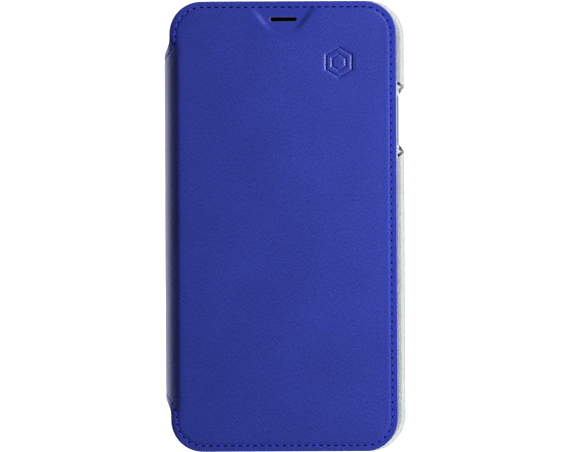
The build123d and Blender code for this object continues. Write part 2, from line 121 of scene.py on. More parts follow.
def fold(uv, h):
    """Flat-pattern point (u, v) and height h off the outer face, to the row frame."""
    u, v = uv[:, 0], uv[:, 1]
    h = np.broadcast_to(np.asarray(h, float), u.shape)
    x, z = np.empty_like(u), np.empty_like(u)
    top = u >= UT
    x[top] = X_T + (u[top] - UT)
    z[top] = Z_TOP + h[top]
    m = (u >= BEND_U[0]) & ~top
    w = corner_share(v[m])
    t = np.interp(u[m], BEND_U, BEND_T) * (1 - w) + np.interp(u[m], BEND_U, CORNER_T) * w
    bx = np.interp(u[m], BEND_U, BEND_X) * (1 - w) + np.interp(u[m], BEND_U, CORNER_X) * w
    bz = np.interp(u[m], BEND_U, BEND_Z) * (1 - w) + np.interp(u[m], BEND_U, CORNER_Z) * w
    x[m] = bx - h[m] * np.sin(t)
    z[m] = bz + h[m] * np.cos(t)
    m = (u > -HALF_S) & (u < BEND_U[0])
    x[m] = X_OUT - h[m]
    z[m] = ZC_LO + (u[m] + HALF_S)
    m = (u <= -HALF_S) & (u >= -UB)
    a = (u[m] + UB) / BEND
    x[m] = X_B - (BEND + h[m]) * np.sin(a)
    z[m] = ZC_LO - (BEND + h[m]) * np.cos(a)
    m = u < -UB
    x[m] = X_B + (-u[m] - UB)
    z[m] = -h[m]
    return np.stack([x, v, z], 1) * MM


def flat_at(z0):
    """Mapping for a piece drawn in plan, h counted up from z0."""
    def place(uv, h):
        h = np.broadcast_to(np.asarray(h, float), uv[:, 0].shape)
        return np.stack([uv[:, 0], uv[:, 1], z0 + h], 1) * MM
    return place


def smooth(a, b, x):
    t = np.clip((x - a) / (b - a), 0, 1)
    return t * t * (3 - 2 * t)


def arc(cx, cy, r, a0, a1, n=18):
    a = np.radians(np.linspace(a0, a1, n))
    return [(cx + r * math.cos(t), cy + r * math.sin(t)) for t in a]


def bezier(p0, p1, p2, p3, n=24):
    t = np.linspace(0, 1, n)[:, None]
    p0, p1, p2, p3 = (np.array(p, float) for p in (p0, p1, p2, p3))
    q = (1 - t) ** 3 * p0 + 3 * (1 - t) ** 2 * t * p1 + 3 * (1 - t) * t * t * p2 + t**3 * p3
    return [tuple(p) for p in q]


def resample(points, step, closed=True):
    p = np.array(points, float)
    if closed:
        p = np.vstack([p, p[:1]])
    seg = np.linalg.norm(np.diff(p, axis=0), axis=1)
    keep = np.concatenate([[True], seg > 1e-9])
    p = p[keep]
    seg = np.linalg.norm(np.diff(p, axis=0), axis=1)
    s = np.concatenate([[0], np.cumsum(seg)])
    n = max(3, int(round(s[-1] / step)))
    t = np.linspace(0, s[-1], n + 1)
    if closed:
        t = t[:-1]
    return np.stack([np.interp(t, s, p[:, 0]), np.interp(t, s, p[:, 1])], 1)


def normals_in(loop):
    """Unit normals pointing inside a counter-clockwise closed loop."""
    d = np.roll(loop, -1, 0) - np.roll(loop, 1, 0)
    d /= np.linalg.norm(d, axis=1)[:, None]
    return np.stack([-d[:, 1], d[:, 0]], 1)


def distance(points, loop, closed=True):
    """Distance from points to a polyline."""
    a = loop if closed else loop[:-1]
    b = np.roll(loop, -1, 0) if closed else loop[1:]
    ab = b - a
    len2 = (ab**2).sum(1)
    out = np.empty(len(points))
    for i in range(0, len(points), 4000):
        p = points[i : i + 4000, None, :]
        t = np.clip(((p - a) * ab).sum(2) / len2, 0, 1)
        q = a + t[..., None] * ab
        out[i : i + 4000] = np.sqrt(((p - q) ** 2).sum(2)).min(1)
    return out


def inside(points, loop):
    x, y = points[:, 0][:, None], points[:, 1][:, None]
    x0, y0 = loop[:, 0], loop[:, 1]
    x1, y1 = np.roll(x0, -1), np.roll(y0, -1)
    out = np.empty(len(points), bool)
    for i in range(0, len(points), 4000):
        s = slice(i, i + 4000)
        cross = ((y0 > y[s]) != (y1 > y[s])) & (
            x[s] < (x1 - x0) * (y[s] - y0) / np.where(y1 == y0, 1e-12, y1 - y0) + x0
        )
        out[s] = cross.sum(1) % 2 == 1
    return out


def triangulate(points, loops):
    """Triangles over points, cut to the first loop and outside the others. Loops are index lists."""
    edges = []
    for loop in loops:
        edges += [(loop[i], loop[(i + 1) % len(loop)]) for i in range(len(loop))]
    verts, _, faces, orig, _, _ = delaunay_2d_cdt(
        [Vector((float(a), float(b))) for a, b in points], edges, [], 0, 1e-7
    )
    index = [o[0] if o else -1 for o in orig]
    tri = np.array(
        [[index[i] for i in f] for f in faces if len(f) == 3 and all(index[i] >= 0 for i in f)]
    )
    mid = points[tri].mean(1)
    keep = inside(mid, points[loops[0]])
    for hole in loops[1:]:
        keep &= ~inside(mid, points[hole])
    tri = tri[keep]
    a, b, c = points[tri[:, 0]], points[tri[:, 1]], points[tri[:, 2]]
    area = (b[:, 0] - a[:, 0]) * (c[:, 1] - a[:, 1]) - (b[:, 1] - a[:, 1]) * (c[:, 0] - a[:, 0])
    tri = tri[np.abs(area) > 1e-9]
    area = area[np.abs(area) > 1e-9]
    tri[area < 0] = tri[area < 0][:, ::-1]
    return tri


def make_object(name, verts, faces, uvs=None, mats=(), face_mats=None, smooth_angle=None):
    mesh = bpy.data.meshes.new(name)
    faces = [tuple(int(i) for i in f) for f in faces]
    mesh.from_pydata([tuple(map(float, v)) for v in verts], [], faces)
    if uvs is not None:
        layer = mesh.uv_layers.new(name="pattern")
        idx = np.empty(len(mesh.loops), np.int32)
        mesh.loops.foreach_get("vertex_index", idx)
        layer.data.foreach_set("uv", np.asarray(uvs, np.float32)[idx].ravel())
    for m in mats:
        mesh.materials.append(m)
    if face_mats is not None:
        mesh.polygons.foreach_set("material_index", np.asarray(face_mats, np.int32))
    mesh.polygons.foreach_set("use_smooth", np.ones(len(mesh.polygons), bool))
    mesh.update()
    if smooth_angle is not None:
        mesh.set_sharp_from_angle(angle=math.radians(smooth_angle))
    obj = bpy.data.objects.new(name, mesh)
    scene.collection.objects.link(obj)
    return obj


def slab(name, loop, holes, pts, coarse, place, top, bottom, mats, wall=None, flip=False,
         wall_mat=1, hole_mat=2, sharp=None, paint_by=None):
    """Closed sheet: fine top face, coarse underside and side walls, from plan loops.
    top and bottom give heights for plan points; wall lists shares of the way down."""
    wall = wall or [0.35, 0.7]
    base = [np.asarray(loop)] + [np.asarray(h) for h in holes]
    loops, n = [], 0
    for b in base:
        loops.append(list(range(n, n + len(b))))
        n += len(b)
    ring = np.vstack(base)
    top_pts = np.vstack([ring, pts]) if len(pts) else ring
    tri_t = triangulate(top_pts, loops)
    bot_pts = np.vstack([ring, coarse]) if len(coarse) else ring
    tri_b = triangulate(bot_pts, loops)
    ht, hb = top(top_pts), bottom(bot_pts)
    verts = [place(top_pts, ht), place(bot_pts, hb)]
    uv = [top_pts, bot_pts]
    nt, nb = len(top_pts), len(bot_pts)
    faces = [tri_t, tri_b[:, ::-1] + nt]
    top_mat = paint_by(top_pts[tri_t].mean(1)) if paint_by else np.zeros(len(tri_t))
    fm = [top_mat, np.full(len(tri_b), wall_mat if wall_mat < len(mats) else 0)]
    start = nt + nb
    rows = [np.arange(n)]
    for s in wall:
        verts.append(place(ring, ht[:n] * (1 - s) + hb[:n] * s))
        uv.append(ring + 0.0)
        rows.append(np.arange(start, start + n))
        start += n
    rows.append(np.arange(n) + nt)
    quads, qm = [], []
    for li, l in enumerate(loops):
        a = np.array(l)
        b = np.roll(a, -1)
        for r0, r1 in zip(rows[:-1], rows[1:]):
            quads.append(np.stack([r0[a], r1[a], r1[b], r0[b]], 1))
            qm += [wall_mat if li == 0 else hole_mat] * len(a)
    verts = np.vstack(verts)
    uv = np.vstack(uv) / 100.0
    all_faces = [tuple(f) for f in np.vstack(faces)] + [tuple(q) for q in np.vstack(quads)]
    fmats = np.concatenate([*fm, np.minimum(np.array(qm), len(mats) - 1)])
    if flip:
        all_faces = [f[::-1] for f in all_faces]
    return make_object(name, verts, all_faces, uv, mats, fmats, sharp)


# --------------------------------------------------------------------------------
# materials
# --------------------------------------------------------------------------------
def new_material(name):
    m = bpy.data.materials.new(name)
    m.use_nodes = True
    nt = m.node_tree
    nt.nodes.clear()
    out = nt.nodes.new("ShaderNodeOutputMaterial")
    bsdf = nt.nodes.new("ShaderNodeBsdfPrincipled")
    nt.links.new(bsdf.outputs[0], out.inputs["Surface"])
    return m, nt, bsdf, out


def node(nt, kind, inputs=None, **props):
    n = nt.nodes.new(kind)
    for k, v in props.items():
        setattr(n, k, v)
    for k, v in (inputs or {}).items():
        if isinstance(v, bpy.types.NodeSocket):
            nt.links.new(v, n.inputs[k])
        else:
            n.inputs[k].default_value = v
    return n


def coords(nt, scale, rotate=0.0, pattern=True):
    """Procedural coordinates in millimetres times scale."""
    if pattern:
        src = node(nt, "ShaderNodeUVMap", uv_map="pattern").outputs[0]
        k = 100.0
    else:
        src = node(nt, "ShaderNodeTexCoord").outputs["Object"]
        k = 1000.0
    if isinstance(scale, (int, float)):
        scale = (scale,) * 3
    return node(
        nt, "ShaderNodeMapping",
        {"Vector": src, "Scale": tuple(s * k for s in scale), "Rotation": (0, 0, rotate)},
    ).outputs[0]


def mix_rgb(nt, fac, a, b, blend="MIX"):
    n = nt.nodes.new("ShaderNodeMix")
    n.data_type = "RGBA"
    n.blend_type = blend
    for key, value in ((0, fac), (6, a), (7, b)):
        if isinstance(value, bpy.types.NodeSocket):
            nt.links.new(value, n.inputs[key])
        else:
            n.inputs[key].default_value = value
    return n.outputs[2]


def maths(nt, op, a, b=0.0, clamp=False):
    n = nt.nodes.new("ShaderNodeMath")
    n.operation = op
    n.use_clamp = clamp
    for i, value in enumerate((a, b)):
        if isinstance(value, bpy.types.NodeSocket):
            nt.links.new(value, n.inputs[i])
        else:
            n.inputs[i].default_value = value
    return n.outputs[0]


def ramp(nt, fac, lo, hi, to_lo=0.0, to_hi=1.0):
    return node(
        nt, "ShaderNodeMapRange",
        {"Value": fac, "From Min": lo, "From Max": hi, "To Min": to_lo, "To Max": to_hi},
    ).outputs[0]


def leather(name, dark, base, light, rough=0.31, bump=0.34, pattern=True, grain=1.0, gloss=1.0,
            pressed=None):
    m, nt, bsdf, out = new_material(name)
    fine = node(nt, "ShaderNodeTexNoise",
                {"Vector": coords(nt, (2.1, 0.52, 1.1), math.radians(8), pattern),
                 "Scale": 2.65 * grain, "Detail": 1.6, "Roughness": 0.5, "Distortion": 0.3})
    cells = node(nt, "ShaderNodeTexVoronoi",
                 {"Vector": coords(nt, (1.4, 0.8, 1.1), math.radians(10), pattern),
                  "Scale": 2.2 * grain, "Randomness": 1.0},
                 feature="DISTANCE_TO_EDGE")
    pores = node(nt, "ShaderNodeTexNoise",
                 {"Vector": coords(nt, 1.0, 0, pattern), "Scale": 4.2 * grain, "Detail": 2.0})
    cloud = node(nt, "ShaderNodeTexNoise",
                 {"Vector": coords(nt, 1.0, 0.3, pattern), "Scale": 0.045, "Detail": 3.0,
                  "Roughness": 0.55})
    crease = ramp(nt, cells.outputs["Distance"], 0.0, 0.16, 1.0, 0.0)
    height = maths(nt, "MULTIPLY_ADD", crease, -0.35)
    nt.nodes[-1].inputs[2].default_value = 0.0
    height = maths(nt, "ADD", height, fine.outputs["Fac"])
    height = maths(nt, "ADD", height, maths(nt, "MULTIPLY", pores.outputs["Fac"], 0.25))
    tone = ramp(nt, fine.outputs["Fac"], 0.40, 0.60)
    colour = mix_rgb(nt, tone, (*dark, 1), (*light, 1))
    colour = mix_rgb(nt, 0.12, colour, (*base, 1))
    shade = ramp(nt, cloud.outputs["Fac"], 0.3, 0.7, 0.93, 1.07)
    grey = node(nt, "ShaderNodeCombineColor", {0: shade, 1: shade, 2: shade}).outputs[0]
    colour = mix_rgb(nt, 1.0, colour, grey, "MULTIPLY")
    nt.links.new(colour, bsdf.inputs["Base Color"])
    nt.links.new(ramp(nt, fine.outputs["Fac"], 0.3, 0.7, rough + 0.06, rough - 0.04),
                 bsdf.inputs["Roughness"])
    b = node(nt, "ShaderNodeBump", {"Height": height, "Strength": bump, "Distance": 0.00026})
    if pressed:
        # the grain is pressed flatter in the dip and along the right-hand edge, over its border and the seam's slope
        at = node(nt, "ShaderNodeSeparateXYZ", {0: node(nt, "ShaderNodeUVMap", uv_map="pattern").outputs[0]})
        across = maths(nt, "ABSOLUTE", maths(nt, "SUBTRACT", at.outputs[0], pressed[0] / 100))
        dip = maths(nt, "MULTIPLY", ramp(nt, across, 0.104, 0.134, 1.0, 0.0),
                    ramp(nt, at.outputs[1], 0.635, 0.665))
        side = ramp(nt, at.outputs[0], (pressed[1] - 5.0) / 100, (pressed[1] - 3.6) / 100)
        flat = maths(nt, "MAXIMUM", maths(nt, "MULTIPLY", dip, 0.55), maths(nt, "MULTIPLY", side, 0.30))
        nt.links.new(ramp(nt, flat, 0.0, 1.0, bump, 0.0), b.inputs["Strength"])
    nt.links.new(b.outputs[0], bsdf.inputs["Normal"])
    bsdf.inputs["Specular IOR Level"].default_value = 0.33 * gloss
    bsdf.inputs["Specular Tint"].default_value = (0.88, 0.76, 1.0, 1)
    bsdf.inputs["Coat Weight"].default_value = 0.05 * gloss
    bsdf.inputs["Coat Roughness"].default_value = 0.32
    bsdf.inputs["Sheen Weight"].default_value = 0.09
    bsdf.inputs["Sheen Roughness"].default_value = 0.26
    bsdf.inputs["Sheen Tint"].default_value = (0.74, 0.76, 1.0, 1)
    return m


def paint(name, colour, rough=0.35, pattern=True, spec=0.4):
    """Smooth edge paint with a faint mottle."""
    m, nt, bsdf, out = new_material(name)
    n = node(nt, "ShaderNodeTexNoise",
             {"Vector": coords(nt, 1.0, 0, pattern), "Scale": 0.8, "Detail": 3.0})
    c = tuple(x * 0.85 for x in colour)
    col = mix_rgb(nt, ramp(nt, n.outputs["Fac"], 0.35, 0.65), (*c, 1), (*colour, 1))
    nt.links.new(col, bsdf.inputs["Base Color"])
    nt.links.new(ramp(nt, n.outputs["Fac"], 0.3, 0.7, rough - 0.04, rough + 0.08),
                 bsdf.inputs["Roughness"])
    b = node(nt, "ShaderNodeBump", {"Height": n.outputs["Fac"], "Strength": 0.2, "Distance": 0.00004})
    nt.links.new(b.outputs[0], bsdf.inputs["Normal"])
    bsdf.inputs["Specular IOR Level"].default_value = spec
    return m


def microfibre(name, dark, light, pattern=True):
    m, nt, bsdf, out = new_material(name)
    nap = node(nt, "ShaderNodeTexNoise",
               {"Vector": coords(nt, (1.0, 0.45, 1.0), 0.2, pattern), "Scale": 5.5, "Detail": 5.0,
                "Roughness": 0.7})
    brushed = node(nt, "ShaderNodeTexNoise",
                   {"Vector": coords(nt, (1.0, 0.35, 1.0), 0.5, pattern), "Scale": 0.09,
                    "Detail": 4.0, "Distortion": 0.6})
    tone = maths(nt, "ADD", maths(nt, "MULTIPLY", nap.outputs["Fac"], 0.55),
                 maths(nt, "MULTIPLY", brushed.outputs["Fac"], 0.45))
    col = mix_rgb(nt, ramp(nt, tone, 0.36, 0.64), (*dark, 1), (*light, 1))
    nt.links.new(col, bsdf.inputs["Base Color"])
    bsdf.inputs["Roughness"].default_value = 0.92
    bsdf.inputs["Specular IOR Level"].default_value = 0.15
    bsdf.inputs["Sheen Weight"].default_value = 0.35
    bsdf.inputs["Sheen Roughness"].default_value = 0.35
    bsdf.inputs["Sheen Tint"].default_value = (0.45, 0.45, 0.9, 1)
    b = node(nt, "ShaderNodeBump", {"Height": nap.outputs["Fac"], "Strength": 0.5, "Distance": 0.00008})
    nt.links.new(b.outputs[0], bsdf.inputs["Normal"])
    return m


def thread_material(name, dark, light):
    """UV x runs along each stitch, y round it: the ply twists along the thread."""
    m, nt, bsdf, out = new_material(name)
    uv = node(nt, "ShaderNodeUVMap", uv_map="pattern").outputs[0]
    sep = node(nt, "ShaderNodeSeparateXYZ", {0: uv})
    phase = maths(nt, "ADD", maths(nt, "MULTIPLY", sep.outputs[0], 4.0), sep.outputs[1])
    wave = maths(nt, "SINE", maths(nt, "MULTIPLY", phase, 6.2832 * 2))
    ply = ramp(nt, wave, -1.0, 1.0)
    col = mix_rgb(nt, ply, (*dark, 1), (*light, 1))
    nt.links.new(col, bsdf.inputs["Base Color"])
    bsdf.inputs["Roughness"].default_value = 0.55
    bsdf.inputs["Specular IOR Level"].default_value = 0.22
    bsdf.inputs["Sheen Weight"].default_value = 0.05
    b = node(nt, "ShaderNodeBump", {"Height": ply, "Strength": 0.6, "Distance": 0.00006})
    nt.links.new(b.outputs[0], bsdf.inputs["Normal"])
    return m


def clear_plastic(name):
    m, nt, bsdf, out = new_material(name)
    n = node(nt, "ShaderNodeTexNoise",
             {"Vector": coords(nt, 1.0, 0, False), "Scale": 0.12, "Detail": 2.0})
    col = mix_rgb(nt, ramp(nt, n.outputs["Fac"], 0.3, 0.7), (0.655, 0.65, 0.645, 1), (0.68, 0.675, 0.67, 1))
    # painted tint: a green line laid at fixed coordinates along the side key cut's lower edge, standing in for the
    # green that light picks up passing edge-on through the plastic
    at = node(nt, "ShaderNodeSeparateXYZ", {0: node(nt, "ShaderNodeTexCoord").outputs["Object"]})
    painted_green_x = maths(nt, "MULTIPLY", ramp(nt, at.outputs[0], 0.03828, 0.03842),
                    ramp(nt, at.outputs[0], 0.03868, 0.03882, 1.0, 0.0))
    painted_green_y = maths(nt, "MULTIPLY", ramp(nt, at.outputs[1], 0.0270, 0.0276),
                    ramp(nt, at.outputs[1], 0.0440, 0.0446, 1.0, 0.0))
    col = mix_rgb(nt, maths(nt, "MULTIPLY", painted_green_x, painted_green_y), col, (0.10, 0.23, 0.10, 1))
    nt.links.new(col, bsdf.inputs["Base Color"])
    nt.links.new(ramp(nt, n.outputs["Fac"], 0.3, 0.7, 0.03, 0.06), bsdf.inputs["Roughness"])
    bsdf.inputs["Transmission Weight"].default_value = 1.0
    bsdf.inputs["IOR"].default_value = 1.585
    b = node(nt, "ShaderNodeBump", {"Height": n.outputs["Fac"], "Strength": 0.05, "Distance": 0.0002})
    nt.links.new(b.outputs[0], bsdf.inputs["Normal"])
    vol = nt.nodes.new("ShaderNodeVolumeAbsorption")
    vol.inputs["Color"].default_value = (0.38, 0.58, 0.41, 1)
    vol.inputs["Density"].default_value = 120.0
    nt.links.new(vol.outputs[0], out.inputs["Volume"])
    return m


def plain(name, a, b_, rough, scale=0.8, bump=0.2, pattern=False, spec=0.5):
    m, nt, bsdf, out = new_material(name)
    n = node(nt, "ShaderNodeTexNoise",
             {"Vector": coords(nt, 1.0, 0, pattern), "Scale": scale, "Detail": 4.0, "Roughness": 0.6})
    col = mix_rgb(nt, ramp(nt, n.outputs["Fac"], 0.35, 0.65), (*a, 1), (*b_, 1))
    nt.links.new(col, bsdf.inputs["Base Color"])
    bsdf.inputs["Roughness"].default_value = rough
    bsdf.inputs["Specular IOR Level"].default_value = spec
    bp = node(nt, "ShaderNodeBump", {"Height": n.outputs["Fac"], "Strength": bump, "Distance": 0.00008})
    nt.links.new(bp.outputs[0], bsdf.inputs["Normal"])
    return m


def black_mesh(name):
    m, nt, bsdf, out = new_material(name)
    c = coords(nt, 1.0, 0.785, False)
    v = node(nt, "ShaderNodeTexVoronoi", {"Vector": c, "Scale": 3.2, "Randomness": 0.0})
    col = mix_rgb(nt, ramp(nt, v.outputs["Distance"], 0.2, 0.45), (0.0004,) * 3 + (1,), (0.0016,) * 3 + (1,))
    nt.links.new(col, bsdf.inputs["Base Color"])
    bsdf.inputs["Roughness"].default_value = 0.9
    bsdf.inputs["Specular IOR Level"].default_value = 0.0
    b = node(nt, "ShaderNodeBump", {"Height": v.outputs["Distance"], "Strength": 0.6, "Distance": 0.00008})
    nt.links.new(b.outputs[0], bsdf.inputs["Normal"])
    return m


BLUE_D, BLUE, BLUE_L = (0.013, 0.023, 0.160), (0.019, 0.031, 0.255), (0.027, 0.044, 0.365)
mat_leather = leather("blue_leather", BLUE_D, BLUE, BLUE_L, pressed=(UT - 0.35 - X_T, U_RIGHT))
mat_pocket = leather("pocket_leather", BLUE_D, BLUE, BLUE_L, rough=0.5, bump=0.35, pattern=True, grain=1.3,
                     gloss=0.35)
# edge paint, set much lighter than the leather: the real painted edge plus a painted highlight where the rounded rim
# catches the light
mat_paint_and_highlight = paint("paint_and_rim_highlight", (0.09, 0.105, 0.56))
# painted shade: the slot's cut walls are near-black, standing in for the shade inside the narrow hole
mat_dark_slot_wall = plain("slot_wall_painted_shade", (0.0015,) * 3, (0.004,) * 3, 0.8, spec=0.1)
mat_rim = plain("slot_rim", (0.085, 0.08, 0.22), (0.12, 0.11, 0.28), 0.7, spec=0.05)
mat_lining = microfibre("microfibre", (0.004, 0.006, 0.10), (0.012, 0.016, 0.21))
mat_thread = thread_material("thread", (0.008, 0.008, 0.36), (0.022, 0.022, 0.66))
# painted shadow: near-black for the dark ellipses in the stitch gaps
mat_gap_shadow = plain("stitch_gap_painted_shadow", (0.0006, 0.0008, 0.006), (0.0012, 0.0015, 0.013), 0.9, spec=0.0)
mat_clear = clear_plastic("clear_plastic")
mat_board = plain("board", (0.20, 0.20, 0.22), (0.27, 0.27, 0.29), 0.8)
mat_foam = plain("foam", (0.16, 0.16, 0.18), (0.23, 0.23, 0.25), 0.95, 2.5, 0.6)
mat_film = plain("film", (0.006, 0.010, 0.13), (0.010, 0.016, 0.18), 0.5, 0.3)
mat_mesh = black_mesh("black_mesh")

for n, m in {
    "clear_shell": mat_clear, "bond_film": mat_film, "spine_stiffener": mat_board,
    "cover_foam": mat_foam, "cover_board": mat_board, "slot_mesh": mat_mesh,
}.items():
    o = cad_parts[n]
    o.data.materials.clear()
    o.data.materials.append(m)

# --------------------------------------------------------------------------------
# flat pattern of the one leather skin: strap, spine and cover
# --------------------------------------------------------------------------------
R_FLAP, R_STRAP = 11.0, 7.0
X_MARGIN = -39.10                                  # rolled left margin at the corners, in plan
cv = HALF_H - R_FLAP


def spline(points, n=10):
    """Catmull-Rom curve through plan points."""
    p = np.array(points, float)
    p = np.vstack([2 * p[0] - p[1], p, 2 * p[-1] - p[-2]])
    out = []
    for i in range(1, len(p) - 2):
        for t in np.linspace(0, 1, n, endpoint=False):
            out.append(tuple(0.5 * (
                2 * p[i] + (p[i + 1] - p[i - 1]) * t
                + (2 * p[i - 1] - 5 * p[i] + 4 * p[i + 1] - p[i + 2]) * t * t
                + (3 * p[i] - p[i - 1] - 3 * p[i + 1] + p[i + 2]) * t**3)))
    out.append(tuple(p[-2]))
    return out


def u_curve(points):
    return [(u_of(x, y), y) for x, y in points]


flare = u_curve(spline([
    (X_MARGIN, cv), (X_MARGIN - 0.02, 64.2), (X_MARGIN - 0.10, 63.1), (X_MARGIN - 0.26, 62.2),
    (X_MARGIN - 0.50, 61.4), (X_MARGIN - 0.80, 60.6), (-40.20, 59.95), (-40.48, 59.35),
    (-40.66, 58.9),
]))
side = spline([flare[-2], flare[-1], (-3.2, 58.0), (-5.0, 57.2), (-7.4, 56.5), (-UB, STRAP_H)])
upper = (
    [(U_RIGHT, 0.0)]
    + arc(U_RIGHT - R_FLAP, cv, R_FLAP, 0, 90)
    + u_curve(arc(X_MARGIN + R_FLAP, cv, R_FLAP, 90, 180, 26))
    + flare[1:]
    + side[11:]
    + arc(U_STRAP + R_STRAP, STRAP_H - R_STRAP, R_STRAP, 90, 180)
    + [(U_STRAP, 0.0)]
)
whole = upper + [(u, -v) for u, v in reversed(upper[1:-1])]
OUTLINE = resample(whole, 0.62)
FINE_LINE = resample(whole, 0.3)
SEAM_IN = 2.0


def x_of(uv):
    return X_T + (uv[:, 0] - UT)


SLOT_X, SLOT_Y, SLOT_L, SLOT_W = -0.35, 70.3, 9.0, 1.4
MARK_X, MARK_Y = 18.5, 55.6


def flap_weight(u):
    return smooth(4.0, UT - 0.4, u)


def dip_depth(uv):
    x, y = x_of(uv) - SLOT_X, uv[:, 1]
    half = 5.6 + (y - 68.0) * 0.78
    side = smooth(-1.5, 1.5, half - np.abs(x))
    depth = 0.66 * (1 - 0.45 * smooth(70.5, 74.3, y))
    return depth * side * smooth(64.6, 69.6, y) * (1 - smooth(74.2, 74.8, y)) * (uv[:, 0] > UT)


def hexagon(x, y, r):
    """Signed distance to a pointed-top hexagon of inner radius r."""
    x, y = np.abs(x), np.abs(y)
    return np.maximum(x, x * 0.5 + y * 0.8660254) - r


def mark_depth(uv):
    x, y = x_of(uv) - MARK_X, uv[:, 1] - MARK_Y
    lines = np.minimum(np.abs(hexagon(x, y, 4.35)), np.abs(hexagon(x, y, 2.3)))
    groove = 0.27 * (1 - smooth(0.10, 0.56, lines))
    press = 0.07 * (1 - smooth(0.0, 1.4, hexagon(x, y, 4.6)))
    return groove + press


def waviness(uv):
    u, v = uv[:, 0], uv[:, 1]
    return 0.028 * (
        np.sin(u * 0.11 + 0.9) * np.cos(v * 0.073 + 0.4)
        + 0.6 * np.sin(u * 0.21 - v * 0.13 + 1.7)
        + 0.4 * np.sin(v * 0.31 + u * 0.05)
    )


STEP = 0.12                                        # how far the stitched border lies below the pad


def ease(a, b, x):
    """Ramp from 0 to 1 that is straight for most of its length."""
    t = np.clip((x - a) / (b - a), 0, 1)
    return 0.6 * t + 0.4 * t * t * (3 - 2 * t)


def outer_height(uv):
    """Relief of the leather's outer face off the folded profile."""
    d = distance(uv, FINE_LINE)
    f = flap_weight(uv[:, 0])
    amount = STEP * f + 0.06 * (1 - f)
    border = amount * (0.8 * (1 - ease(2.0, 3.25, d)) + 0.2 * (1 - smooth(2.6, 6.0, d)))
    low_part = np.maximum(border, dip_depth(uv))
    # the seam's groove: a short wall outside, the pad's long slope inside
    q = d - SEAM_IN
    groove = np.where(q < 0, 1 - smooth(0.02, 0.30, -q), 1 - ease(0.05, 0.4 + 0.85 * f, q))
    channel = (0.105 + 0.195 * (1 - f)) * groove
    r = 0.15
    e = np.clip(r - d, 0, r)
    edge = r - np.sqrt(np.maximum(r * r - e * e, 0))
    fade = smooth(2.5, 9.0, d)
    return -low_part - channel - edge - mark_depth(uv) + waviness(uv) * fade - 0.01


def leather_under(uv):
    d = distance(uv, FINE_LINE)
    f = flap_weight(uv[:, 0])
    edge = np.where(d < 0.47, 2.06, 1.5)
    flap = np.where(d < 2.7, edge, 0.9 + 0.6 * (1 - smooth(2.7, 3.3, d)))
    rest = 0.88
    return -(f * flap + (1 - f) * rest)


def lining_outer(uv):
    d = distance(uv, FINE_LINE)
    u = uv[:, 0]
    f = flap_weight(u)
    climb = smooth(UT - 0.7, UT + 0.25, u)
    border = 1 - smooth(2.3, 3.4, d)
    stiff = 0.4 * (1 - smooth(HALF_S - 0.5, HALF_S + 0.1, np.abs(u))) * smooth(2.6, 3.4, d)
    bend = 0.9 + 0.6 * border * f + stiff
    return -(climb * 2.1 + (1 - climb) * bend) - 0.01


def lining_inner(uv):
    return lining_outer(uv) - 0.39


def clip_loop(loop, keep_right, cut):
    """Part of the closed loop on one side of u = 0, closed along the cut with given v values."""
    side = loop[:, 0] > 1e-6 if keep_right else loop[:, 0] < -1e-6
    n = len(loop)
    start = next(i for i in range(n) if side[i] and not side[i - 1])
    run = [loop[(start + k) % n] for k in range(n) if side[(start + k) % n]]
    run = np.array(run)
    if abs(run[0][0]) < 0.12:
        run = run[1:]
    if abs(run[-1][0]) < 0.12:
        run = run[:-1]
    line = np.stack([np.zeros(len(cut)), cut if not keep_right else cut[::-1]], 1)
    # counter-clockwise: the right part ends at +v and returns down the cut
    return np.vstack([run, line])


def edge_v(loop):
    """v where the outline crosses u = 0, on the positive side."""
    best = None
    for a, b in zip(loop, np.roll(loop, -1, 0)):
        if (a[0] > 0) != (b[0] > 0) and a[1] > 0:
            t = a[0] / (a[0] - b[0])
            best = a[1] + t * (b[1] - a[1])
    return float(best)


V0 = edge_v(FINE_LINE)
RING_D = [0.05, 0.11, 0.2, 0.38, 0.7, 1.1, 1.45, 1.64, 1.74, 1.82, 1.9, 1.98, 2.06, 2.2, 2.4,
          2.65, 2.95, 3.25, 3.6, 4.0, 4.6, 5.4]
cut_d = [0.0] + RING_D
cut_v = sorted({round(s * (V0 - d), 5) for d in cut_d for s in (1, -1)} | {round(float(v), 5) for v in np.linspace(-V0 + 6.8, V0 - 6.8, 58)})
CUT = np.array(cut_v)


